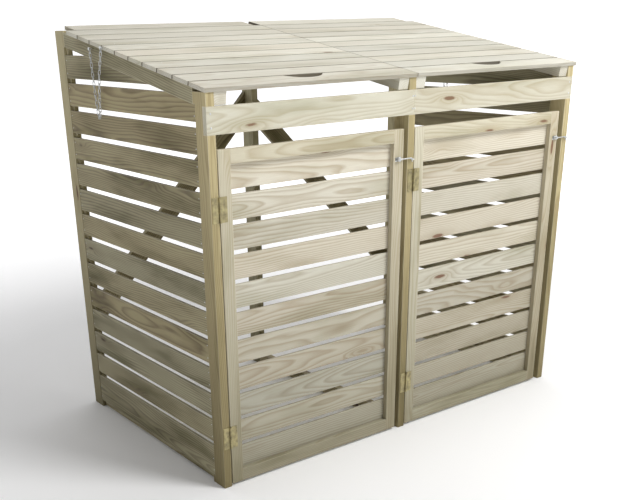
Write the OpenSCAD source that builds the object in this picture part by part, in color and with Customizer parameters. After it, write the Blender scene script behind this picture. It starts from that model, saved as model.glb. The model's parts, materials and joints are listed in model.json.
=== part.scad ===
// Slatted timber store for two wheeled bins: two sloping lids over two front doors.
// Sizes are worked out from the front left corner at floor level: x runs along the
// front, y runs to the rear. place() then moves everything so that the origin is on
// the floor under the middle of the store.

/* [Overall] */
// width over the corner posts
store_w = 1550; // [1300:10:1860]
// depth over the corner posts
store_d = 932; // [776:4:1120]
// height of the front posts
front_h = 1190; // [1150:5:1428]
// height of the rear posts above the front ones
rear_rise = 156; // [130:2:188]

/* [Frame] */
// width of a post and of the sloping rails, along the front
post_t = 28; // [22:1:34]
// depth of a post
post_d = 66; // [54:1:80]
// how far the middle post stands left of the centre line
mid_shift = 13; // [0:1:20]
// height of the top, bottom and rear rails
rail_h = 44; // [36:1:54]
// height of the board across the front, above the doors
header_h = 74; // [60:1:90]
// thickness of that board
header_t = 18; // [14:1:22]
// gap between the top of that board and the top of the front posts
header_drop = 37; // [31:1:44]
// width of the rear braces
brace_w = 72; // [58:1:88]
// thickness of the rear braces
brace_t = 18; // [14:1:22]
// distance from the top of the middle rear post down to the braces
brace_drop = 234; // [200:2:280]

/* [Side panels] */
// height of a side slat
slat_h = 72; // [60:1:88]
// thickness of a side slat
slat_t = 10; // [8:1:12]
// gap between two side slats
slat_gap = 15.8; // [12:0.2:20]
// height of the lowest side board
bottom_board_h = 103; // [86:1:124]
// gap between the floor and the lowest side board
ground_gap = 26; // [20:1:32]
// how far the slats stand in from the post's outer face
slat_inset = 2; // [1:0.5:4]
// width of the step that a slat end sits in
seat_w = 10; // [8:1:14]

/* [Doors] */
// gap between the left door and the post that it closes on
left_latch_gap = 18; // [4:1:22]
// gap between the right door and the post that it closes on
right_latch_gap = 27; // [4:1:30]
// gap between a door and the board above it
door_top_gap = 40; // [10:1:60]
// gap between the floor and a door
door_lift = 8; // [5:1:20]
// gap between a door and the post that it hangs on
door_gap = 3; // [2:0.5:5]
// width of the door's uprights and cross rails
stile_w = 41; // [34:1:50]
// thickness of the door's uprights and cross rails
stile_t = 18; // [14:1:22]
// number of boards in a door
door_slats = 11; // [8:1:13]
// gap between two door boards
door_slat_gap = 15; // [11:0.5:20]
// thickness of a door board
door_slat_t = 11; // [9:1:14]
// how far a board runs in behind the frame
door_slat_lap = 32; // [24:1:36]

/* [Lids] */
// how far a lid stands out past the posts
lid_over = 5; // [3:1:12]
// thickness of a lid board
lid_board_t = 12; // [10:1:16]
// width of a lid board
lid_board_w = 80; // [68:1:96]
// gap between two lid boards
lid_board_gap = 5.5; // [3:0.5:8]
// width of the rail under each end of the lid boards
lid_rail_w = 41; // [34:1:50]
// gap between the two lids
lid_split = 2; // [1:0.5:4]
// width of the hand hole
hand_w = 145; // [116:1:174]
// how deep the hand hole is cut into the front board
hand_d = 38; // [30:1:46]

/* [Metalwork] */
// height of a hinge leaf, along its pin
leaf_h = 72; // [58:1:86]
// width of a hinge leaf
leaf_w = 24; // [20:1:27]
// thickness of a hinge leaf
leaf_t = 1.5; // [1.2:0.1:2]
// distance from a door's end to its hinge
hinge_inset = 127; // [100:1:200]
// distance from a lid's side to its hinge
lid_hinge_inset = 150; // [100:1:200]
// outer radius of a hinge knuckle
knuckle_r = 3.5; // [3:0.1:4.2]
// radius of a hinge pin
pin_r = 1.8; // [1.4:0.1:2.2]
// thickness of the hook's wire
hook_wire = 4; // [3:0.5:5]
// length of a hook from its pivot to its tip
hook_len = 55; // [44:1:62]
// distance from the top of a door down to its hook
hook_drop = 91; // [60:1:110]
// thickness of the chain's wire
chain_wire = 2.2; // [1.8:0.1:2.4]
// number of links in a chain, odd so that both end links stand square to their screws
link_count = 31; // [27:2:33]
// outer width of a chain link
link_w = 9; // [8:0.5:11]

/* [Hidden] */
eps = 0.01;
rest_gap = 0.3;
fit = 0.05;
smooth = 32;
knuckles = 5;
knuckle_clear = 0.25;
bore_wall = 0.6;
wood = [0.74, 0.71, 0.58];
wood_warm = [0.68, 0.6, 0.44];
wood_shade = [0.5, 0.45, 0.34];
brassed = [0.66, 0.62, 0.42];
zinc = [0.75, 0.77, 0.8];

// main lines along the front
mid_c = store_w / 2 - mid_shift;
mid_x0 = mid_c - post_t / 2;
mid_x1 = mid_c + post_t / 2;
right_x0 = store_w - post_t;
header_bearing = 6;
header_joint = mid_x1 - header_bearing;
opening_h = front_h - header_drop - header_h;
rear_y0 = store_d - post_d;

// the lids' under side rises from the front posts to the rear rails
lid_under_0 = front_h + rest_gap;
rear_h = front_h + rear_rise;
over_rear_post = 5;
slope = atan((rear_rise + over_rear_post) / store_d);
function lid_under(y) = lid_under_0 + y * tan(slope);

// side slats
side_seat = slat_inset + slat_t;
first_slat_z = ground_gap + bottom_board_h + slat_gap;
slat_pitch = slat_h + slat_gap;
slat_y0 = post_d - seat_w;
slat_y1 = rear_y0 + seat_w;
function rail_under(y) = lid_under(y) - rest_gap - rail_h;
slat_least = 20;
side_slats = floor((rail_under(slat_y1) - first_slat_z - slat_least) / slat_pitch) + 1;

// rear rails and the lids' hinge line
rear_inset = 2;
rear_rail_y1 = store_d - rear_inset;
rear_rail_y0 = rear_rail_y1 - post_t;
lid_over_rail = 3.5;
knuckle_sink = 0.8;
rear_rail_top = lid_under(rear_rail_y0) - lid_over_rail;
lid_axis_y = rear_rail_y1 - 6;
lid_axis_z = rear_rail_top + leaf_t + knuckle_r - knuckle_sink;
brace_rise = brace_w / cos(45);
brace_top_z = rear_h - brace_drop;

// lids
lid_rail_h = header_drop - 0.5;
lid_pitch = lid_board_w + lid_board_gap;
lid_stop_y = rear_y0 - 4;
lid_boards = floor(((lid_stop_y / cos(slope)) + lid_over) / lid_pitch);
left_lid = [-lid_over, mid_x1 - lid_split / 2];
right_lid = [mid_x1 + lid_split / 2, store_w + lid_over];
lid_rail_gap = 1;
left_lid_rails = [post_t + lid_rail_gap, mid_x0 - lid_rail_gap - lid_rail_w];
right_lid_rails = [mid_x1 + 2 * lid_rail_gap, right_x0 - lid_rail_gap - lid_rail_w];
lid_rail_end = (rear_rail_y0 - 2 - lid_rail_h * sin(slope)) / cos(slope);
lid_post_gap = 1.5;
hand_r = (hand_w * hand_w / 4 + hand_d * hand_d) / (2 * hand_d);

// doors
door_z1 = opening_h - door_top_gap;
door_h = door_z1 - door_lift;
left_door_x = post_t + door_gap;
right_door_x = mid_x1 + door_gap;
left_door_w = mid_x0 - left_latch_gap - left_door_x;
right_door_w = right_x0 - right_latch_gap - right_door_x;
door_axis_y = -knuckle_r - 0.2;
door_inner_z0 = door_lift + stile_w;
door_inner_h = door_h - 2 * stile_w;
door_pitch = (door_inner_h + door_slat_gap) / door_slats;
door_slat_inset = 8;
door_hinge_zs = [door_lift + hinge_inset, door_z1 - hinge_inset - leaf_h];

// hooks and their eyes
hook_r = hook_wire / 2;
hook_z = door_z1 - hook_drop;
hook_y = -8;
ring_r = 5;
eye_r = 6;
eye_wire_r = 1.75;
eye_drop = hook_r + eye_wire_r + rest_gap;
tip_h = 12;
bend_r = 4;
left_hook_x = mid_c - hook_len;
right_hook_x = right_x0 + post_t / 2 - hook_len;

// lid chains: the line that one hangs along, as [y, z] from the lid's under side
chain_x = -10;
chain_y = store_d - 317;
chain_route = [[40, -2.5], [36, -76], [29, -146], [23, -196], [18, -211], [12, -213],
    [6, -200], [1, -146], [-9, -86], [-28, -36], [-40, 1]];
chain_shank_r = 1.4;

// ---------- helpers ----------

depth_mid = (hook_y - eye_r - eye_wire_r + store_d) / 2;

module place() {
    translate([-store_w / 2, -depth_mid, 0]) children();
}

// the same piece on the other end of the store
module other_side() {
    translate([store_w, 0, 0]) mirror([1, 0, 0]) children();
}

module box(x, y, z) {
    translate([x[0], y[0], z[0]]) cube([x[1] - x[0], y[1] - y[0], z[1] - z[0]]);
}

// an outline in y and z, given a thickness from x0 on
module side_sheet(x0, t) {
    translate([x0, 0, 0]) rotate([90, 0, 90]) linear_extrude(t) children();
}

// an outline in x and z, given a thickness from y0 on
module front_sheet(y0, t) {
    translate([0, y0 + t, 0]) rotate([90, 0, 0]) linear_extrude(t) children();
}

// children are drawn flat, with y along the slope and z = 0 at the lids' under side
module on_slope() {
    translate([0, 0, lid_under_0]) rotate([slope, 0, 0]) children();
}

// a rod of radius r between two points
module rod(a, b, r) {
    v = b - a;
    translate(a)
        rotate([0, acos(v[2] / norm(v)), atan2(v[1], v[0])])
            cylinder(h = norm(v), r = r, $fn = smooth / 2);
}

module ring(r, wire) {
    rotate_extrude($fn = smooth) translate([r, 0]) circle(r = wire, $fn = smooth / 2);
}

// ---------- posts ----------

// seat is -1 for a step on the left face, 1 for one on the right face, 0 for none
module seat_cut(x0, y, h, seat) {
    if (seat < 0) box([x0 - eps, x0 + side_seat], y, [ground_gap, h]);
    if (seat > 0) box([x0 + post_t - side_seat, x0 + post_t + eps], y, [ground_gap, h]);
}

module front_post(x0, seat) {
    color(wood_warm) place() difference() {
        box([x0, x0 + post_t], [0, post_d], [0, front_h]);
        box([x0 - 1, x0 + post_t + 1], [-1, header_t], [opening_h, opening_h + header_h]);
        seat_cut(x0, [slat_y0, post_d + 1], rail_under(post_d), seat);
    }
}

module rear_post(x0, seat) {
    color(wood) place() difference() {
        box([x0, x0 + post_t], [rear_y0, store_d], [0, rear_h]);
        seat_cut(x0, [rear_y0 - 1, slat_y1], rail_under(rear_y0), seat);
    }
}

module front_left_post() { front_post(0, -1); }
module front_middle_post() { front_post(mid_x0, 0); }
module front_right_post() { front_post(right_x0, 1); }
module rear_left_post() { rear_post(0, -1); }
module rear_middle_post() { rear_post(mid_x0, 0); }
module rear_right_post() { rear_post(right_x0, 1); }

// ---------- frame boards and rails ----------

module header_board(x0, x1) {
    color(wood) place() box([x0, x1], [0, header_t], [opening_h, opening_h + header_h]);
}

module left_header_board() { header_board(0, header_joint); }
module right_header_board() { header_board(header_joint, store_w); }

module below_top_rail() {
    polygon([[0, 0], [store_d, 0], [store_d, rail_under(store_d)], [0, rail_under(0)]]);
}

module side_slats() {
    box([slat_inset, side_seat], [slat_y0, slat_y1], [ground_gap, ground_gap + bottom_board_h]);
    side_sheet(slat_inset, slat_t)
        for (i = [0 : side_slats - 1])
            intersection() {
                translate([slat_y0, first_slat_z + i * slat_pitch])
                    square([slat_y1 - slat_y0, slat_h]);
                below_seat_top();
            }
}

// the slats stop at the rail, and at the top of the step in each post
module below_seat_top() {
    intersection() {
        below_top_rail();
        union() {
            translate([post_d, 0]) square([rear_y0 - post_d, rear_h]);
            square([post_d + eps, rail_under(post_d)]);
            translate([rear_y0 - eps, 0]) square([post_d, rail_under(rear_y0)]);
        }
    }
}

module left_side_slats() { color(wood_shade) place() side_slats(); }
module right_side_slats() { color(wood_shade) place() other_side() side_slats(); }

module top_rail(x0) {
    color(wood_shade) place() side_sheet(x0, post_t)
        polygon([[post_d, rail_under(post_d)], [rear_y0, rail_under(rear_y0)],
            [rear_y0, lid_under(rear_y0) - rest_gap], [post_d, lid_under(post_d) - rest_gap]]);
}

module left_top_rail() { top_rail(0); }
module middle_top_rail() { top_rail(mid_x0); }
module right_top_rail() { top_rail(right_x0); }

bottom_rail_z = 3;
module bottom_rail(x0, x1) {
    color(wood_shade) place()
        box([x0, x1], [post_d, rear_y0], [bottom_rail_z, bottom_rail_z + rail_h]);
}

module left_bottom_rail() { bottom_rail(side_seat, post_t); }
module middle_bottom_rail() { bottom_rail(mid_x0, mid_x1); }
module right_bottom_rail() { bottom_rail(right_x0, store_w - side_seat); }

module rear_rail(x0, x1) {
    color(wood_shade) place()
        box([x0, x1], [rear_rail_y0, rear_rail_y1], [rear_rail_top - rail_h, rear_rail_top]);
}

module rear_left_rail() { rear_rail(post_t, mid_x0); }
module rear_right_rail() { rear_rail(mid_x1, right_x0); }

// a brace falls at 45 degrees from the middle post to a corner post
module rear_brace(x_mid, x_corner) {
    fall = abs(x_corner - x_mid);
    color(wood_shade) place() front_sheet(store_d - 3 - brace_t, brace_t)
        polygon([[x_mid, brace_top_z], [x_mid, brace_top_z - brace_rise],
            [x_corner, brace_top_z - brace_rise - fall], [x_corner, brace_top_z - fall]]);
}

module rear_left_brace() { rear_brace(mid_x0, post_t); }
module rear_right_brace() { rear_brace(mid_x1, right_x0); }

screw_head_r = 3;
screw_head_h = 0.8;
module header_screws() {
    xs = [post_t / 2, header_joint - header_bearing, header_joint + header_bearing / 2,
        store_w - post_t / 2];
    color(zinc) place()
        for (x = xs, z = [opening_h + header_h / 4, opening_h + header_h * 3 / 4])
            translate([x, 0, z]) rotate([90, 0, 0])
                cylinder(h = screw_head_h, r1 = screw_head_r, r2 = screw_head_r * 0.7, $fn = smooth / 2);
}

// ---------- hinges ----------

// a hinge lies in the x-z plane with its pin up z at x = 0, y = -drop,
// and its leaf runs to -x (hand = -1) or +x (hand = 1) with its back at y = 0
module hinge_leaf(hand, drop, own) {
    step = leaf_h / knuckles;
    difference() {
        union() {
            translate([hand > 0 ? knuckle_r + 1 : -leaf_w - 1, -leaf_t, 0])
                cube([leaf_w - knuckle_r, leaf_t, leaf_h]);
            for (i = own)
                translate([0, 0, i * step + knuckle_clear / 2]) {
                    translate([0, -drop, 0])
                        cylinder(h = step - knuckle_clear, r = knuckle_r, $fn = smooth);
                    translate([hand > 0 ? 0 : -knuckle_r - 2, -leaf_t, 0])
                        cube([knuckle_r + 2, leaf_t, step - knuckle_clear]);
                }
        }
        translate([0, -drop, -1]) cylinder(h = leaf_h + 2, r = pin_r + fit, $fn = smooth);
        for (z = [0.2, 0.8])
            translate([hand * (leaf_w - knuckle_r) * 0.72, -leaf_t - 1, leaf_h * z])
                rotate([-90, 0, 0]) cylinder(h = leaf_t + 2, r = 2.2, $fn = smooth / 2);
    }
}

module leaf_screws(hand) {
    for (z = [0.2, 0.8])
        translate([hand * (leaf_w - knuckle_r) * 0.72, 0, leaf_h * z])
            rotate([90, 0, 0]) cylinder(h = leaf_t + 0.4, r = 2.1, $fn = smooth / 2);
}

module at_door_hinges(axis_x) {
    color(brassed) place()
        for (z = door_hinge_zs) translate([axis_x, 0, z]) children();
}

left_axis_x = post_t + door_gap / 2;
right_axis_x = mid_x1 + door_gap / 2;
post_knuckles = [0, 2, 4];
door_knuckles = [1, 3];

module post_leaf() {
    hinge_leaf(-1, -door_axis_y, post_knuckles);
    leaf_screws(-1);
}

module door_leaf() {
    hinge_leaf(1, -door_axis_y, door_knuckles);
    leaf_screws(1);
}

module hinge_pin() {
    translate([0, door_axis_y, 0.3]) cylinder(h = leaf_h - 0.6, r = pin_r, $fn = smooth);
}

module left_door_post_leaves() { at_door_hinges(left_axis_x) post_leaf(); }
module right_door_post_leaves() { at_door_hinges(right_axis_x) post_leaf(); }
module left_door_leaves() { at_door_hinges(left_axis_x) door_leaf(); }
module right_door_leaves() { at_door_hinges(right_axis_x) door_leaf(); }
module left_door_hinge_pins() { at_door_hinges(left_axis_x) hinge_pin(); }
module right_door_hinge_pins() { at_door_hinges(right_axis_x) hinge_pin(); }

// lid hinges lie along x on the rear rail's top
function lid_hinge_xs(lid) = [lid[0] + lid_hinge_inset, lid[1] - lid_hinge_inset - leaf_h];
lid_knuckle_step = leaf_h / knuckles;

module lid_knuckles(own) {
    for (i = own)
        translate([i * lid_knuckle_step + knuckle_clear / 2, lid_axis_y, lid_axis_z])
            rotate([0, 90, 0]) cylinder(h = lid_knuckle_step - knuckle_clear, r = knuckle_r, $fn = smooth);
}

module lid_bore() {
    translate([-1, lid_axis_y, lid_axis_z]) rotate([0, 90, 0])
        cylinder(h = leaf_h + 2, r = pin_r + fit, $fn = smooth);
}

module rail_leaf() {
    difference() {
        union() {
            lid_knuckles(post_knuckles);
            box([0, leaf_h], [rear_rail_y0 + 1, lid_axis_y - knuckle_r - 0.5],
                [rear_rail_top, rear_rail_top + leaf_t]);
            for (i = post_knuckles)
                box([i * lid_knuckle_step + knuckle_clear / 2, (i + 1) * lid_knuckle_step - knuckle_clear / 2],
                    [lid_axis_y - knuckle_r - 1, lid_axis_y], [rear_rail_top, rear_rail_top + leaf_t]);
        }
        lid_bore();
    }
    translate([0.3, lid_axis_y, lid_axis_z]) rotate([0, 90, 0])
        cylinder(h = leaf_h - 0.6, r = pin_r, $fn = smooth);
}

// the lid's leaf lies flat under the lid and meets the knuckles from above
module lid_leaf() {
    axis_s = lid_axis_y * cos(slope) + (lid_axis_z - lid_under_0) * sin(slope);
    difference() {
        union() {
            lid_knuckles(door_knuckles);
            on_slope() translate([0, 0, -leaf_t]) linear_extrude(leaf_t) {
                translate([0, axis_s - leaf_w + 2])
                    square([leaf_h, leaf_w - 2 - knuckle_r - bore_wall]);
                for (i = door_knuckles)
                    translate([i * lid_knuckle_step + knuckle_clear, axis_s - knuckle_r - 1])
                        square([lid_knuckle_step - 2 * knuckle_clear,
                            knuckle_r + 1 - pin_r - bore_wall]);
            }
        }
        lid_bore();
    }
}

module at_lid_hinges(lid) {
    color(brassed) place()
        for (x = lid_hinge_xs(lid)) translate([x, 0, 0]) children();
}

module left_lid_rail_leaves() { at_lid_hinges(left_lid) rail_leaf(); }
module right_lid_rail_leaves() { at_lid_hinges(right_lid) rail_leaf(); }
module left_lid_leaves() { at_lid_hinges(left_lid) lid_leaf(); }
module right_lid_leaves() { at_lid_hinges(right_lid) lid_leaf(); }

// ---------- doors ----------

module stile(x0) {
    color(wood_warm) place() box([x0, x0 + stile_w], [0, stile_t], [door_lift, door_z1]);
}

module door_rail(x0, w, z0) {
    color(wood) place()
        box([x0 + stile_w, x0 + w - stile_w], [0, stile_t], [z0, z0 + stile_w]);
}

// the boards are nailed to the back of the frame; the end ones run in behind its rails
module door_boards(x0, w) {
    color(wood) place()
        for (i = [0 : door_slats - 1]) {
            z0 = door_inner_z0 + i * door_pitch - (i == 0 ? door_slat_lap : 0);
            z1 = door_inner_z0 + (i + 1) * door_pitch - door_slat_gap
                + (i == door_slats - 1 ? door_slat_lap : 0);
            box([x0 + door_slat_inset, x0 + w - door_slat_inset],
                [stile_t, stile_t + door_slat_t], [z0, z1]);
        }
}

module left_door_hinge_stile() { stile(left_door_x); }
module left_door_latch_stile() { stile(left_door_x + left_door_w - stile_w); }
module left_door_top_rail() { door_rail(left_door_x, left_door_w, door_z1 - stile_w); }
module left_door_bottom_rail() { door_rail(left_door_x, left_door_w, door_lift); }
module left_door_slats() { door_boards(left_door_x, left_door_w); }
module right_door_hinge_stile() { stile(right_door_x); }
module right_door_latch_stile() { stile(right_door_x + right_door_w - stile_w); }
module right_door_top_rail() { door_rail(right_door_x, right_door_w, door_z1 - stile_w); }
module right_door_bottom_rail() { door_rail(right_door_x, right_door_w, door_lift); }
module right_door_slats() { door_boards(right_door_x, right_door_w); }

// ---------- hooks ----------

plate_w = 24;
plate_h = 13;
plate_t = 1.5;
stud_r = ring_r - hook_r - fit;

// a plate with a headed stud that the hook turns on
module hook_plate(x) {
    head_y = hook_y - hook_r - rest_gap;
    color(zinc) place() translate([x, 0, hook_z]) rotate([90, 0, 0]) {
        linear_extrude(plate_t) square([plate_w, plate_h], center = true);
        cylinder(h = -head_y + eps, r = stud_r, $fn = smooth);
        translate([0, 0, -head_y]) cylinder(h = 1.5, r = ring_r, $fn = smooth);
    }
}

module left_hook_plate() { hook_plate(left_hook_x); }
module right_hook_plate() { hook_plate(right_hook_x); }

// bent wire: a ring round the stud, an arm and a tip that points down
module hook(x) {
    color(zinc) place() translate([x, hook_y, hook_z]) rotate([90, 0, 0]) {
        ring(ring_r, hook_r);
        translate([ring_r, 0, 0]) rotate([0, 90, 0])
            cylinder(h = hook_len - bend_r - ring_r, r = hook_r, $fn = smooth);
        translate([hook_len - bend_r, -bend_r, 0])
            rotate_extrude(angle = 90, $fn = smooth) translate([bend_r, 0])
                circle(r = hook_r, $fn = smooth);
        translate([hook_len, -tip_h, 0]) rotate([-90, 0, 0])
            cylinder(h = tip_h - bend_r, r = hook_r, $fn = smooth);
    }
}

module left_hook() { hook(left_hook_x); }
module right_hook() { hook(right_hook_x); }

// a screw eye in the post: the hook's tip drops through it
module hook_eye(x) {
    color(zinc) place() translate([x + hook_len, hook_y, hook_z - eye_drop]) {
        ring(eye_r, eye_wire_r);
        rod([0, eye_r, 0], [0, -hook_y, 0], eye_wire_r);
    }
}

module left_hook_eye() { hook_eye(left_hook_x); }
module right_hook_eye() { hook_eye(right_hook_x); }

// ---------- lids ----------

module lid_board(lid, i) {
    box(lid, [-lid_over + i * lid_pitch, -lid_over + i * lid_pitch + lid_board_w], [0, lid_board_t]);
}

// the hand hole is a round bite out of the front board's rear edge
module lid_front_board(lid) {
    middle = (lid[0] + lid[1]) / 2;
    color(wood) place() on_slope() difference() {
        lid_board(lid, 0);
        translate([middle, -lid_over + lid_board_w - hand_d + hand_r, -1])
            cylinder(h = lid_board_t + 2, r = hand_r, $fn = 96);
    }
}

// the last board is shorter and lies between the rear posts
module lid_board_set(lid, inner) {
    color(wood) place() on_slope() {
        for (i = [1 : lid_boards - 1]) lid_board(lid, i);
        lid_board([inner[0] + lid_post_gap, inner[1] - lid_post_gap], lid_boards);
    }
}

module lid_rails(xs) {
    color(wood) place() on_slope()
        for (x = xs) box([x, x + lid_rail_w], [1, lid_rail_end], [-lid_rail_h, 0]);
}

module left_lid_front_board() { lid_front_board(left_lid); }
module left_lid_boards() { lid_board_set(left_lid, [post_t, mid_x0]); }
module left_lid_rails() { lid_rails(left_lid_rails); }
module right_lid_front_board() { lid_front_board(right_lid); }
module right_lid_boards() { lid_board_set(right_lid, [mid_x1, right_x0]); }
module right_lid_rails() { lid_rails(right_lid_rails); }

// ---------- lid chains ----------

function seg(i) = norm(chain_route[i + 1] - chain_route[i]);
function run_to(i) = i == 0 ? 0 : run_to(i - 1) + seg(i - 1);
function seg_at(d, i = 0) =
    i >= len(chain_route) - 2 || run_to(i + 1) >= d ? i : seg_at(d, i + 1);
function chain_at(d) =
    let (i = seg_at(d), t = (d - run_to(i)) / seg(i))
    chain_route[i] + t * (chain_route[i + 1] - chain_route[i]);

chain_len = run_to(len(chain_route) - 1);
link_step = chain_len / link_count;
link_len = link_step + 2 * chain_wire + rest_gap;
function link_mid(i) = (chain_at(i * link_step) + chain_at((i + 1) * link_step)) / 2;
function link_way(i) =
    let (v = chain_at((i + 1) * link_step) - chain_at(i * link_step)) v / norm(v);

// a screw stands just inside the far end of the link that it holds
shank_in_link = link_len / 2 - chain_wire - chain_shank_r - rest_gap;
rail_screw_at = link_mid(0) - shank_in_link * link_way(0);
lid_screw_at = link_mid(link_count - 1) + shank_in_link * link_way(link_count - 1);

// one link, long along z, lying in the y-z plane
module link() {
    r = (link_w - chain_wire) / 2;
    half = (link_len - link_w) / 2;
    rotate([0, 0, 90]) rotate([90, 0, 0]) {
        for (s = [0, 180])
            rotate([0, 0, s]) translate([0, half, 0])
                rotate_extrude(angle = 180, $fn = smooth) translate([r, 0])
                    circle(r = chain_wire / 2, $fn = smooth / 2);
        for (x = [-r, r])
            translate([x, -half, 0]) rotate([-90, 0, 0])
                cylinder(h = 2 * half, r = chain_wire / 2, $fn = smooth / 2);
    }
}

module chain() {
    translate([chain_x, chain_y, lid_under(chain_y)])
        for (i = [0 : link_count - 1])
            translate([0, link_mid(i)[0], link_mid(i)[1]])
                rotate([atan2(link_way(i)[0], -link_way(i)[1]), 0, 0])
                    rotate([0, 0, 90 * (i % 2)]) link();
}

module left_lid_chain() { color(zinc) place() chain(); }
module right_lid_chain() { color(zinc) place() other_side() chain(); }

// a round-headed screw that holds one end of a chain and stands out to the left of x0
module chain_screw(x0, at) {
    reach = x0 - chain_x + 3;
    translate([x0, chain_y + at[0], lid_under(chain_y) + at[1]]) rotate([0, -90, 0]) {
        cylinder(h = reach, r = chain_shank_r, $fn = smooth);
        translate([0, 0, reach - eps]) cylinder(h = chain_shank_r, r = link_w / 2, $fn = smooth);
    }
}

module left_chain_screw() { color(zinc) place() chain_screw(0, rail_screw_at); }
module right_chain_screw() { color(zinc) place() other_side() chain_screw(0, rail_screw_at); }
module left_lid_chain_screw() { color(zinc) place() chain_screw(-lid_over, lid_screw_at); }
module right_lid_chain_screw() {
    color(zinc) place() other_side() chain_screw(-lid_over, lid_screw_at);
}

front_left_post();
front_middle_post();
front_right_post();
rear_left_post();
rear_middle_post();
rear_right_post();
left_header_board();
right_header_board();
left_side_slats();
right_side_slats();
left_top_rail();
middle_top_rail();
right_top_rail();
left_bottom_rail();
middle_bottom_rail();
right_bottom_rail();
rear_left_rail();
rear_right_rail();
rear_left_brace();
rear_right_brace();
header_screws();
left_hook_eye();
right_hook_eye();
left_door_post_leaves();
right_door_post_leaves();
left_door_hinge_pins();
right_door_hinge_pins();
left_lid_rail_leaves();
right_lid_rail_leaves();
left_chain_screw();
right_chain_screw();
left_lid_chain();
right_lid_chain();
left_door_hinge_stile();
left_door_latch_stile();
left_door_top_rail();
left_door_bottom_rail();
left_door_slats();
left_door_leaves();
left_hook_plate();
right_door_hinge_stile();
right_door_latch_stile();
right_door_top_rail();
right_door_bottom_rail();
right_door_slats();
right_door_leaves();
right_hook_plate();
left_hook();
right_hook();
left_lid_front_board();
left_lid_boards();
left_lid_rails();
left_lid_leaves();
left_lid_chain_screw();
right_lid_front_board();
right_lid_boards();
right_lid_rails();
right_lid_leaves();
right_lid_chain_screw();
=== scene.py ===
"""Looks of a slatted pine store for two wheeled bins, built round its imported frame."""
import json
import math
import random

import bmesh
import bpy
from mathutils import Matrix, Vector


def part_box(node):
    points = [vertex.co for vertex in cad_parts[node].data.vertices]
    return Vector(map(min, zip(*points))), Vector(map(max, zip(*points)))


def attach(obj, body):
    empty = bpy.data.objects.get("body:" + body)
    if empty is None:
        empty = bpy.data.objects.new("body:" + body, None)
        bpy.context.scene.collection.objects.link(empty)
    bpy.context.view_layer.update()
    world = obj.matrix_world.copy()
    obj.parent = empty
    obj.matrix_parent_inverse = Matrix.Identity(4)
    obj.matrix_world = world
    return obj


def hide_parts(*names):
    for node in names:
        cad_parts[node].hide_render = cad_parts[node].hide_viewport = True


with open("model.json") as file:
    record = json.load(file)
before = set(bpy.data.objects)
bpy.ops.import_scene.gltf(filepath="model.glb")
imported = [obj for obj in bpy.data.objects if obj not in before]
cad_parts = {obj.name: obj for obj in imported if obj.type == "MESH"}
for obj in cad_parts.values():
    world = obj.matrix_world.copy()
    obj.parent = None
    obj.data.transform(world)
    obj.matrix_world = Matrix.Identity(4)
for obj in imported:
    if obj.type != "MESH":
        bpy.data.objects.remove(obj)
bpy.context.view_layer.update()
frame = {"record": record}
MM = 0.001
PER_MM = 1 / MM
MERGE = 0.02 * MM


# ---------- small helpers ----------

def srgb(text):
    """Linear colour from an sRGB hex value."""
    parts = [int(text[i:i + 2], 16) / 255 for i in (1, 3, 5)]
    return [c / 12.92 if c <= 0.04045 else ((c + 0.055) / 1.055) ** 2.4 for c in parts] + [1.0]


def add(tree, kind, settings=None, **links):
    """Adds a node with its settings and links. A link is an input's name, or in_ and its number,
    with a value, a socket, or a node that gives its first output. Grey stops go to a ramp."""
    node = tree.nodes.new(kind)
    for name, value in (settings or {}).items():
        if name == "stops":
            elements = node.color_ramp.elements
            while len(elements) < len(value):
                elements.new(0.5)
            for element, (place, grey) in zip(elements, value):
                element.position = place
                element.color = (grey, grey, grey, 1)
        else:
            setattr(node, name, value)
    for name, value in links.items():
        socket = node.inputs[int(name[3:]) if name.startswith("in_") else name.replace("_", " ")]
        if isinstance(value, bpy.types.Node):
            value = value.outputs[0]
        if isinstance(value, bpy.types.NodeSocket):
            tree.links.new(value, socket)
        else:
            socket.default_value = value
    return node


def empty_material(name):
    """A material with nothing in its node tree yet."""
    material = bpy.data.materials.new(name)
    material.use_nodes = True
    material.node_tree.nodes.clear()
    return material


# node kinds and settings that come up often
MATH = "ShaderNodeMath"
MIX = "ShaderNodeMix"
NOISE = "ShaderNodeTexNoise"
RANGE = "ShaderNodeMapRange"
ATTRIBUTE = "ShaderNodeAttribute"
PLUS = {"operation": "ADD"}
MINUS = {"operation": "SUBTRACT"}
TIMES = {"operation": "MULTIPLY"}
TIMES_PLUS = {"operation": "MULTIPLY_ADD"}
POWER = {"operation": "POWER"}
FRACTION = {"operation": "FRACT"}
BLEND = {"data_type": "RGBA"}
DARKEN = {"data_type": "RGBA", "blend_type": "MULTIPLY"}
MIXED_COLOUR = 2


# ---------- timber ----------

RING_MM = 6.5
FIBRE_MM = 1.3
KNOT_SPACING_MM = 300
KNOTS_ACROSS = 14
KNOT_CHANCE = 0.5
KNOT_RIM = (0.12, 0.085)
KNOT_HALO = (0.42, 0.08)
KNOT_WOBBLE = 0.035
KNOT_STAIN = 0.45
RING_DRIFT = 0.055
RING_PUSH = 0.022
RING_STOPS = [(0.0, 0.0), (0.35, 0.12), (0.82, 1.0), (0.97, 0.25), (1.0, 0.0)]
FIBRE_SPAN = (0.35, 0.7)
FIBRE_SHOW = 0.16
FIBRE_HEIGHT = 0.5
MIDDLE_GREY = 0.5
GREEN_SPAN = (0.52, 0.75)
HUE_SPAN = (0.488, 0.508)
SATURATION_SPAN = (1.15, 0.82)
VALUE_SPAN = (0.9, 1.06)
SEED_STIR = 7.13
# the third colour on the next line is painted shade, darkening the gaps between lid boards
GREEN_CAST, WORN_PALE, GAP_SHADE, LOW_SHADE_GREY = "#A9AD83", "#E9E2CC", "#4B4130", "#8C8870"
# painted shade towards the ground: the last colour above greys the timber, fading out up to this height
LOW_SHADE_TOP = 1.05
WOOD_ROUGH = (0.74, 0.58)
WOOD_IOR, WOOD_SPECULAR = 1.5, 0.35


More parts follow.
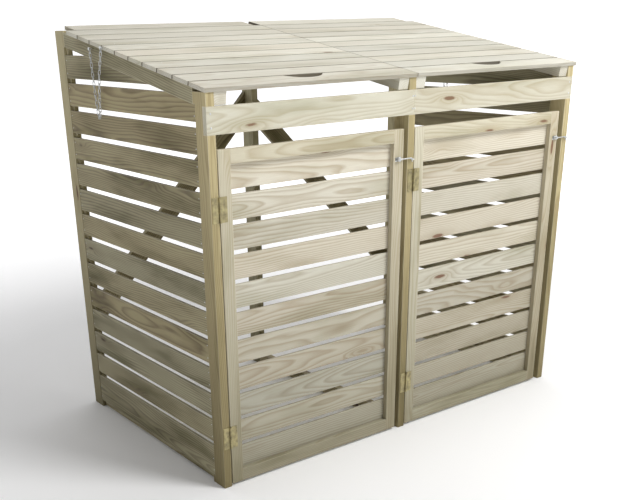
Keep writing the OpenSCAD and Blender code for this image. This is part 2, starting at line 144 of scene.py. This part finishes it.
def pine(name, early, late, knot, green=0.25, ring_show=0.55, low_shade=0.0, gap_shade=0.0,
         worn=0.35, blotch=0.5):
    """Planed, pressure-treated pine: pale flowing ring lines, brown knots with the grain
    running round them, a green cast in places and slightly worn, lighter edges."""
    material = empty_material(name)
    tree = material.node_tree
    # each board carries its own grain: x runs along it, y and z are measured from the pith
    grain = add(tree, ATTRIBUTE, {"attribute_name": "grain"}).outputs["Vector"]
    seed = add(tree, ATTRIBUTE, {"attribute_name": "board"}).outputs["Fac"]
    edge = add(tree, ATTRIBUTE, {"attribute_name": "arris"}).outputs["Fac"]
    narrow = add(tree, ATTRIBUTE, {"attribute_name": "narrow"}).outputs["Fac"]

    def stretched(along, across):
        """The grain's own place, scaled along the board and across it."""
        return add(tree, "ShaderNodeMapping", Vector=grain, Scale=(along, across, across))

    # knots: one place now and then along the board
    cells = add(tree, "ShaderNodeTexVoronoi", {"voronoi_dimensions": "3D"}, Scale=1.0, Randomness=0.9,
                Vector=stretched(PER_MM / KNOT_SPACING_MM, KNOTS_ACROSS))
    wobble = add(tree, NOISE, Vector=stretched(60, 60), Scale=1.0, Detail=2.0)
    near = add(tree, MATH, TIMES_PLUS, in_0=wobble, in_1=KNOT_WOBBLE, in_2=cells.outputs["Distance"])
    luck = add(tree, "ShaderNodeSeparateColor", Color=cells.outputs["Color"])
    has_knot = add(tree, MATH, {"operation": "LESS_THAN"}, in_0=luck, in_1=KNOT_CHANCE)
    core = add(tree, RANGE, Value=near, From_Min=KNOT_RIM[0], From_Max=KNOT_RIM[1])
    halo = add(tree, RANGE, Value=near, From_Min=KNOT_HALO[0], From_Max=KNOT_HALO[1])
    knot_core = add(tree, MATH, TIMES, in_0=has_knot, in_1=core)
    knot_halo = add(tree, MATH, TIMES, in_0=has_knot, in_1=halo)

    # year rings, bent by slow noise and pushed aside by the knots
    split = add(tree, "ShaderNodeSeparateXYZ", Vector=grain)
    across = add(tree, MATH, PLUS, in_0=add(tree, MATH, POWER, in_0=split.outputs["Y"], in_1=2.0),
                 in_1=add(tree, MATH, POWER, in_0=split.outputs["Z"], in_1=2.0))
    radius = add(tree, MATH, {"operation": "SQRT"}, in_0=across)
    drift = add(tree, NOISE, Vector=stretched(1.6, 9), Scale=1.0, Detail=2.5, Roughness=0.45)
    radius = add(tree, MATH, TIMES_PLUS, in_0=drift, in_1=RING_DRIFT, in_2=radius)
    push = add(tree, MATH, POWER, in_0=knot_halo, in_1=2.0)
    radius = add(tree, MATH, TIMES_PLUS, in_0=push, in_1=RING_PUSH, in_2=radius)
    turns = add(tree, MATH, TIMES, in_0=radius, in_1=PER_MM / RING_MM)
    ring = add(tree, "ShaderNodeValToRGB", {"stops": RING_STOPS},
               Fac=add(tree, MATH, FRACTION, in_0=turns))
    ring = add(tree, "ShaderNodeSeparateColor", Color=ring)

    # fibres finer than the rings, drawn coarse enough to read from a few metres
    fibre = add(tree, NOISE, Vector=stretched(14, PER_MM / FIBRE_MM), Scale=1.0, Detail=2.0)
    fleck = add(tree, RANGE, Value=fibre, From_Min=FIBRE_SPAN[0], From_Max=FIBRE_SPAN[1])
    patch = add(tree, NOISE, Vector=stretched(2.2, 12), Scale=1.0, Detail=3.0)

    shade = add(tree, MATH, TIMES, in_0=ring, in_1=ring_show)
    shade = add(tree, MATH, TIMES_PLUS, in_0=fleck, in_1=FIBRE_SHOW, in_2=shade)
    cloud = add(tree, MATH, MINUS, in_0=patch, in_1=MIDDLE_GREY)
    shade = add(tree, MATH, PLUS, in_0=shade, in_1=add(tree, MATH, TIMES, in_0=cloud, in_1=blotch))
    body = add(tree, MIX, BLEND, in_0=shade, in_6=srgb(early), in_7=srgb(late))

    # boards differ from one another: some redder, some paler
    stirred = add(tree, MATH, FRACTION, in_0=add(tree, MATH, TIMES, in_0=seed, in_1=SEED_STIR))
    body = add(tree, "ShaderNodeHueSaturation", Color=body.outputs[MIXED_COLOUR],
               Hue=add(tree, RANGE, Value=seed, To_Min=HUE_SPAN[0], To_Max=HUE_SPAN[1]),
               Saturation=add(tree, RANGE, Value=seed, To_Min=SATURATION_SPAN[0],
                              To_Max=SATURATION_SPAN[1]),
               Value=add(tree, RANGE, Value=stirred, To_Min=VALUE_SPAN[0], To_Max=VALUE_SPAN[1]))
    body = body.outputs[0]
    treated = add(tree, RANGE, Value=patch, From_Min=GREEN_SPAN[0], From_Max=GREEN_SPAN[1], To_Max=green)
    # painted shade: the narrow sides between boards that lie flat are darkened where shade falls in the
    # gaps
    layers = [(DARKEN, treated, GREEN_CAST),
              (BLEND, add(tree, MATH, TIMES, in_0=knot_halo, in_1=KNOT_STAIN), late),
              (BLEND, knot_core, knot),
              (BLEND, add(tree, MATH, TIMES, in_0=edge, in_1=worn), WORN_PALE),
              (BLEND, add(tree, MATH, TIMES, in_0=narrow, in_1=gap_shade), GAP_SHADE)]
    if low_shade:
        # painted shade: the timber takes a darker, greyer tone towards the ground, where less light falls
        # from above, fading out upwards
        place = add(tree, "ShaderNodeTexCoord").outputs["Object"]
        high = add(tree, "ShaderNodeSeparateXYZ", Vector=place).outputs["Z"]
        low_shade_share = add(tree, RANGE, Value=high, From_Min=LOW_SHADE_TOP, From_Max=0.0, To_Max=low_shade)
        layers.append((DARKEN, low_shade_share, LOW_SHADE_GREY))
    for blend, share, colour in layers:
        body = add(tree, MIX, blend, in_0=share, in_6=body, in_7=srgb(colour)).outputs[MIXED_COLOUR]

    height = add(tree, MATH, TIMES_PLUS, in_0=fleck, in_1=FIBRE_HEIGHT, in_2=ring)
    bump = add(tree, "ShaderNodeBump", Strength=0.22, Distance=0.6 * MM, Height=height)
    rough = add(tree, RANGE, Value=ring, To_Min=WOOD_ROUGH[0], To_Max=WOOD_ROUGH[1])
    shader = add(tree, "ShaderNodeBsdfPrincipled", Base_Color=body, Roughness=rough, Normal=bump,
                 IOR=WOOD_IOR, Specular_IOR_Level=WOOD_SPECULAR)
    add(tree, "ShaderNodeOutputMaterial", Surface=shader)
    return material


CLOUD_STOPS = [(0.35, 0.0), (0.7, 1.0)]
SMOOTHER, ROUGHER = 0.08, 0.14
SPOTS_PER_PATCH = 6


def plated_steel(name, colour, patch_colour, rough, patch_mm):
    """Zinc-plated mild steel: a soft sheen with cloudy duller patches."""
    material = empty_material(name)
    tree = material.node_tree
    place = add(tree, "ShaderNodeTexCoord").outputs["Object"]
    cloud = add(tree, NOISE, Vector=place, Scale=PER_MM / patch_mm, Detail=3.0)
    spots = add(tree, NOISE, Vector=place, Scale=SPOTS_PER_PATCH * PER_MM / patch_mm, Detail=1.0)
    share = add(tree, "ShaderNodeValToRGB", {"stops": CLOUD_STOPS}, Fac=cloud)
    tint = add(tree, MIX, BLEND, in_0=share, in_6=srgb(colour), in_7=srgb(patch_colour))
    shader = add(tree, "ShaderNodeBsdfPrincipled", Base_Color=tint.outputs[MIXED_COLOUR], Metallic=1.0,
                 Roughness=add(tree, RANGE, Value=cloud, To_Min=rough - SMOOTHER, To_Max=rough + ROUGHER),
                 Normal=add(tree, "ShaderNodeBump", Strength=0.15, Distance=0.2 * MM, Height=spots))
    add(tree, "ShaderNodeOutputMaterial", Surface=shader)
    return material


TIMBER = {
    # posts: yellower heartwood, with painted shade darker towards the ground
    "pine_posts": pine("pine_planed_yellow", "#C2B890", "#93835A", "#6A5038", green=0.5,
                       low_shade=0.75),
    # header boards: pale and creamy with a few brown knots
    "pine_header": pine("pine_planed_pale", "#CCC8B5", "#A99C7B", "#80644C", green=0.4, ring_show=0.5),
    # sides, rails and braces: olive brown with cloudy patches, their tones painted darker for the shade
    # the side stands in
    "pine_shaded": pine("pine_planed_olive_shaded", "#A59D7B", "#6A5C41", "#46352A", green=0.8,
                        ring_show=0.68, blotch=1.3),
    # door frames: cream, with quiet rings and painted shade towards the ground
    "pine_door_frame": pine("pine_planed_cream", "#CFC9B2", "#A5946F", "#80624A", green=0.4,
                            ring_show=0.45, low_shade=0.6),
    # door boards: faintly rosy, with the clearest figure and painted shade towards the ground
    "pine_door_slats": pine("pine_planed_rosy", "#DDD9C9", "#AC9C7F", "#8A6A56", green=0.35,
                            ring_show=0.54, low_shade=0.65),
    # lids: bleached by rain, with painted shade in the gaps
    "pine_lid": pine("pine_planed_weathered", "#D6D3C5", "#AFA489", "#7C6450", green=0.3,
                     ring_show=0.45, gap_shade=0.8, worn=0.1),
}
METAL = {
    # hinges: dull yellow plate with darker clouds
    "hinge_steel": plated_steel("steel_yellow_zinc", "#B9AE84", "#8C8468", 0.42, 14),
    # hooks, chains, screws and nails: pale bright plate
    "zinc_steel": plated_steel("steel_bright_zinc", "#E2E4E4", "#B9BBBB", 0.4, 6),
}
SLOT_OF = {part["node"]: part["material_slot"] for part in frame["record"]["subparts"]}
BODY_OF = {node: body for body, nodes in frame["record"]["behaviour"]["bodies"].items()
           for node in nodes}

# ---------- boards: the frame's own timber with eased edges and its own grain ----------

EASE = 1.2 * MM
LID_EASE = 0.9 * MM
EASE_STEPS = 2
FLAT_DEG, SHARP_DEG = 1, 25
# painted shade between lid boards: full on sides sheltered this far inside a board and near the seam
# between the lids, part on the front board's outer sides
SHELTER = 5 * MM
LID_SEAM = 30 * MM
FRONT_SIDE_SHADE = 0.45
STEEP, ALONG_THE_GAP, NEAR_UPRIGHT = 0.6, 0.3, 0.9
PITH_REACH_MM = (25, 85)
PITH_TILT = 0.035
GRAIN_START = 40


def board_axes(edges):
    """Along, across and through a board, from its longest edge. Ties are settled by place, and
    along points the positive way, so each run gives the same axes."""
    longest = max((b - a).length for a, b in edges)
    tied = [(a, b) for a, b in edges if (b - a).length > longest - MERGE]
    a, b = min(tied, key=lambda e: tuple(round(c, 5) for c in e[0] + e[1]))
    along = (b - a).normalized()
    if along[max(range(3), key=lambda i: abs(along[i]))] < 0:
        along = -along
    side = Vector((0, 0, 1)) if abs(along.z) < NEAR_UPRIGHT else Vector((0, 1, 0))
    across = along.cross(side).normalized()
    return along, across, along.cross(across).normalized()


def islands(mesh):
    """The corner points of each separate board in a mesh, in the mesh's own order."""
    mesh.verts.index_update()
    seen = set()
    for first in mesh.verts:
        if first in seen:
            continue
        heap, found = [first], {first}
        while heap:
            for edge in heap.pop().link_edges:
                for vert in edge.verts:
                    if vert not in found:
                        found.add(vert)
                        heap.append(vert)
        seen |= found
        yield sorted(found, key=lambda v: v.index)


def merged_copy(node):
    """The frame's own shape of a node in world place, with its doubled corners joined."""
    source = bpy.data.objects[node]
    mesh = bmesh.new()
    mesh.from_mesh(source.data)
    bmesh.ops.transform(mesh, matrix=source.matrix_world, verts=mesh.verts)
    bmesh.ops.remove_doubles(mesh, verts=mesh.verts, dist=MERGE)
    return mesh


def show(name, data):
    """Puts a mesh or a lamp in the scene."""
    piece = bpy.data.objects.new(name, data)
    bpy.context.scene.collection.objects.link(piece)
    return piece


def painted_gap_share(face, node, points, along, across):
    """How much painted shade a side of a lid board gets: most where it faces another board or its hand
    hole.
    """
    if abs(face.normal.dot(along.cross(across))) > STEEP or node.endswith("rails"):
        return 0.0
    place = face.calc_center_median()
    inside = all(min(p.dot(way) for p in points) + SHELTER < place.dot(way)
                 < max(p.dot(way) for p in points) - SHELTER for way in (along, across))
    faces_slope = abs(face.normal.dot(along)) < ALONG_THE_GAP
    if inside or (faces_slope and node.endswith("lid_boards")) or abs(place.x) < LID_SEAM:
        return 1.0
    return FRONT_SIDE_SHADE if faces_slope else 0.0


def timber_piece(node):
    """A copy of a frame timber: its edges are eased and every board gets its own grain."""
    mesh = merged_copy(node)
    bmesh.ops.dissolve_limit(mesh, angle_limit=math.radians(FLAT_DEG), verts=mesh.verts, edges=mesh.edges)
    grain = mesh.verts.layers.float_vector.new("grain")
    board = mesh.verts.layers.float.new("board")
    arris = mesh.faces.layers.float.new("arris")
    narrow = mesh.faces.layers.float.new("narrow")
    for count, verts in enumerate(sorted(islands(mesh), key=lambda vs: min(v.co.z + v.co.y for v in vs))):
        luck = random.Random(f"{node} {count}")
        points = [v.co for v in verts]
        edges = {e for v in verts for e in v.link_edges}
        along, across, through = board_axes([(e.verts[0].co, e.verts[1].co) for e in edges])
        middle = sum(points, Vector()) / len(points)
        # the pith lies a hand's width off the board and runs slightly askew to it
        turn = luck.uniform(0, 2 * math.pi)
        reach = luck.uniform(*PITH_REACH_MM) * MM
        lean = Vector((luck.uniform(-PITH_TILT, PITH_TILT), luck.uniform(-PITH_TILT, PITH_TILT)))
        start = luck.uniform(0, GRAIN_START)
        seed = luck.random()
        for vert in verts:
            rel = vert.co - middle
            x = rel.dot(along)
            vert[grain] = (x + start, rel.dot(across) + reach * math.cos(turn) + lean.x * x,
                           rel.dot(through) + reach * math.sin(turn) + lean.y * x)
            vert[board] = seed
        if SLOT_OF[node] == "pine_lid":
            for face in {f for v in verts for f in v.link_faces}:
                face[narrow] = painted_gap_share(face, node, points, along, across)
    sharp = [e for e in mesh.edges
             if len(e.link_faces) == 2 and e.calc_face_angle(0) > math.radians(SHARP_DEG)]
    ease = LID_EASE if node.endswith(("lid_boards", "lid_front_board")) else EASE
    made = bmesh.ops.bevel(mesh, geom=sharp, offset=ease, segments=EASE_STEPS, profile=0.5,
                           affect="EDGES", clamp_overlap=True)
    for face in made["faces"]:
        face[arris] = 1.0
        face.smooth = True
    data = bpy.data.meshes.new(node + "_eased")
    mesh.to_mesh(data)
    mesh.free()
    piece = show(node + "_eased", data)
    data.materials.append(TIMBER[SLOT_OF[node]])
    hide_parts(node)
    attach(piece, BODY_OF[node])


for node_name, slot_name in SLOT_OF.items():
    if slot_name in TIMBER:
        timber_piece(node_name)
    else:
        cad = bpy.data.objects[node_name]
        cad.data.materials.clear()
        cad.data.materials.append(METAL[slot_name])

# ---------- nails, set by Geometry Nodes at listed points ----------

NAIL_R = 1.9 * MM
NAIL_RISE = 0.25 * MM
NAIL_CROWN = 0.6
NAIL_CORNERS = 12
SLAT_NAIL_INSET = 8 * MM
SLAT_NAIL_SHARES = (0.22, 0.78)
SLAT_NAIL_SPAN = 72 * MM
LID_NAIL_STEP = 24 * MM
HALF_LID_BOARD = 6 * MM
RAIL_HEIGHT = 44 * MM
rail_low, rail_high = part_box("left_top_rail")
LID_SLOPE = math.atan((rail_high.z - rail_low.z - RAIL_HEIGHT) / (rail_high.y - rail_low.y))


def nail_tree(metal):
    """Turns points into shallow domed nail heads that face along each point's normal."""
    tree = bpy.data.node_groups.new("nail_heads", "GeometryNodeTree")
    face = tree.interface
    face.new_socket("Geometry", in_out="INPUT", socket_type="NodeSocketGeometry")
    face.new_socket("Head radius", in_out="INPUT", socket_type="NodeSocketFloat")
    face.new_socket("Head rise", in_out="INPUT", socket_type="NodeSocketFloat")
    face.new_socket("Geometry", in_out="OUTPUT", socket_type="NodeSocketGeometry")
    given = add(tree, "NodeGroupInput")
    radius, rise = given.outputs["Head radius"], given.outputs["Head rise"]
    head = add(tree, "GeometryNodeMeshCone", {"fill_type": "NGON"}, Vertices=NAIL_CORNERS,
               Radius_Top=add(tree, MATH, TIMES, in_0=radius, in_1=NAIL_CROWN),
               Radius_Bottom=radius, Depth=rise)
    points = add(tree, "GeometryNodeMeshToPoints", Mesh=given.outputs["Geometry"])
    facing = add(tree, "GeometryNodeInputNamedAttribute", {"data_type": "FLOAT_VECTOR"}, Name="facing")
    turned = add(tree, "FunctionNodeAlignRotationToVector", {"axis": "Z"}, Vector=facing)
    placed = add(tree, "GeometryNodeInstanceOnPoints", Points=points, Instance=head.outputs["Mesh"],
                 Rotation=turned)
    real = add(tree, "GeometryNodeRealizeInstances", Geometry=placed)
    painted = add(tree, "GeometryNodeSetMaterial", Geometry=real, Material=metal)
    add(tree, "NodeGroupOutput", Geometry=painted)
    return tree


NAILS = nail_tree(METAL["zinc_steel"])
NAIL_INPUTS = {item.name: item.identifier for item in NAILS.interface.items_tree
               if item.in_out == "INPUT"}


def nail_piece(name, body, points):
    """One plain mesh of nail heads for a body. points are (place, facing) pairs."""
    data = bpy.data.meshes.new(name)
    data.from_pydata([p for p, _ in points], [], [])
    facing = data.attributes.new("facing", "FLOAT_VECTOR", "POINT")
    for i, (_, way) in enumerate(points):
        facing.data[i].vector = way
    holder = show(name + "_points", data)
    modifier = holder.modifiers.new("nails", "NODES")
    modifier.node_group = NAILS
    modifier[NAIL_INPUTS["Head radius"]] = NAIL_R
    modifier[NAIL_INPUTS["Head rise"]] = NAIL_RISE
    bpy.context.view_layer.update()
    evaluated = holder.evaluated_get(bpy.context.evaluated_depsgraph_get())
    plain = bpy.data.meshes.new_from_object(evaluated)
    bpy.data.objects.remove(holder)
    piece = show(name, plain)
    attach(piece, body)


def board_boxes(node):
    """Lowest and highest corners of each separate board of a node, from low to high."""
    mesh = merged_copy(node)
    boxes = []
    for verts in islands(mesh):
        low = Vector([min(v.co[i] for v in verts) for i in range(3)])
        high = Vector([max(v.co[i] for v in verts) for i in range(3)])
        boxes.append((low, high))
    mesh.free()
    return sorted(boxes, key=lambda b: (b[0].z, b[0].x))


def side_nails(node, outward):
    """Two nails at each end of each side slat."""
    found = []
    for low, high in board_boxes(node):
        x = high.x if outward > 0 else low.x
        for y in (low.y + SLAT_NAIL_INSET, high.y - SLAT_NAIL_INSET):
            for share in SLAT_NAIL_SHARES:
                z = low.z + share * min(high.z - low.z, SLAT_NAIL_SPAN)
                found.append((Vector((x, y, z)), Vector((outward, 0, 0))))
    return found


def lid_nails(boards, front, rails):
    """Two nails through each lid board into each rail under it."""
    up = Vector((0, -math.sin(LID_SLOPE), math.cos(LID_SLOPE)))
    uphill = Vector((0, math.cos(LID_SLOPE), math.sin(LID_SLOPE)))
    found = []
    for low, high in board_boxes(boards) + board_boxes(front):
        centre = (low + high) / 2
        for rail_a, rail_b in board_boxes(rails):
            x = (rail_a.x + rail_b.x) / 2
            for step in (-LID_NAIL_STEP, LID_NAIL_STEP):
                found.append((Vector((x, centre.y, centre.z)) + uphill * step + up * HALF_LID_BOARD, up))
    return found


for side, outward in (("left", -1), ("right", 1)):
    nail_piece(f"{side}_side_nails", "frame", side_nails(f"{side}_side_slats", outward))
    nail_piece(f"{side}_lid_nails", f"{side}_lid",
               lid_nails(f"{side}_lid_boards", f"{side}_lid_front_board", f"{side}_lid_rails"))

# ---------- floor, light and camera ----------

SWEEP_FRONT, SWEEP_NEAR, SWEEP_START = -30.0, -4.0, 7.0
SWEEP_RADIUS, SWEEP_WIDE, SWEEP_TOP = 5.0, 40.0, 22.0
SWEEP_STEPS = 24
SWEEP_TURN_DEG = -35.5
GLOW_NEAR, GLOW_FAR, GLOW = 1.5, 4.5, 0.6
STUDIO_LIGHT = 0.34


def backdrop():
    """A paper floor that curves up into a wall behind the store."""
    reach = [(SWEEP_FRONT, 0.0), (SWEEP_NEAR, 0.0), (SWEEP_START, 0.0)]
    for step in range(1, SWEEP_STEPS + 1):
        turn = math.radians(90) * step / SWEEP_STEPS
        reach.append((SWEEP_START + SWEEP_RADIUS * math.sin(turn), SWEEP_RADIUS * (1 - math.cos(turn))))
    reach.append((SWEEP_START + SWEEP_RADIUS, SWEEP_TOP))
    turned = Matrix.Rotation(math.radians(SWEEP_TURN_DEG), 4, "Z")
    places = [turned @ Vector((side * SWEEP_WIDE, y, z)) for y, z in reach for side in (-1, 1)]
    faces = [(2 * i, 2 * i + 1, 2 * i + 3, 2 * i + 2) for i in range(len(reach) - 1)]
    data = bpy.data.meshes.new("paper_sweep")
    data.from_pydata(places, [], faces)
    for face in data.polygons:
        face.use_smooth = True
    return show("paper_sweep", data)


# painted light: the white paper glows, more the further it lies from the store, so its wall reads white;
# the glow also lights the store's sides
paper = empty_material("paper_white")
paper_place = add(paper.node_tree, "ShaderNodeTexCoord").outputs["Object"]
paper_reach = add(paper.node_tree, "ShaderNodeVectorMath", {"operation": "LENGTH"}, in_0=paper_place)
paper_glow = add(paper.node_tree, RANGE, Value=paper_reach.outputs["Value"], From_Min=GLOW_NEAR,
                 From_Max=GLOW_FAR, To_Max=GLOW)
paper_shader = add(paper.node_tree, "ShaderNodeBsdfPrincipled", Base_Color=srgb("#FAFAFA"),
                   Roughness=0.95, Emission_Color=(1, 1, 1, 1), Emission_Strength=paper_glow)
add(paper.node_tree, "ShaderNodeOutputMaterial", Surface=paper_shader)
floor = backdrop()
floor.data.materials.append(paper)

world = bpy.data.worlds.new("studio")
world.use_nodes = True
world.node_tree.nodes.clear()
studio_light = add(world.node_tree, "ShaderNodeBackground", Color=srgb("#FDFDFF"), Strength=STUDIO_LIGHT)
# seen straight, the studio beyond the paper is white as well
studio_seen = add(world.node_tree, "ShaderNodeBackground", Color=srgb("#FFFFFF"), Strength=1.0)
straight = add(world.node_tree, "ShaderNodeLightPath").outputs["Is Camera Ray"]
studio = add(world.node_tree, "ShaderNodeMixShader", in_0=straight, in_1=studio_light, in_2=studio_seen)
add(world.node_tree, "ShaderNodeOutputWorld", Surface=studio)
bpy.context.scene.world = world


def soft_lamp(name, place, size, power, target):
    """A round, soft studio lamp turned to a point."""
    lamp = bpy.data.lights.new(name, "AREA")
    lamp.shape = "DISK"
    lamp.size = size
    lamp.energy = power
    holder = show(name, lamp)
    holder.location = place
    holder.rotation_euler = (Vector(target) - Vector(place)).to_track_quat("-Z", "Y").to_euler()


soft_lamp("key", (1.3, -3.2, 3.9), 1.8, 150, target=(0, 0, 1.0))
soft_lamp("top", (0.4, -0.4, 4.6), 3.0, 25, target=(0, 0, 0.6))

CAMERA_PLACE = (-2.1126, -2.6129, 1.3588)
CAMERA_RIGHT = Vector((0.80763698, -0.58923045, -0.02302167))
CAMERA_DOWN = Vector((-0.25486094, -0.31359006, -0.91471699))
CAMERA_AHEAD = Vector((0.53175973, 0.74462659, -0.40343876))
camera = show("camera", bpy.data.cameras.new("camera"))
camera.data.sensor_width = 36
camera.data.lens = 51.40
camera.data.shift_x = 0.0638
camera.data.shift_y = 0.2663
camera.data.clip_end = 100
camera.matrix_world = Matrix.Translation(CAMERA_PLACE) @ Matrix(
    (CAMERA_RIGHT, -CAMERA_DOWN, -CAMERA_AHEAD)).transposed().to_4x4()
bpy.context.scene.camera = camera
bpy.context.scene.view_settings.view_transform = "Standard"

bpy.context.view_layer.update()
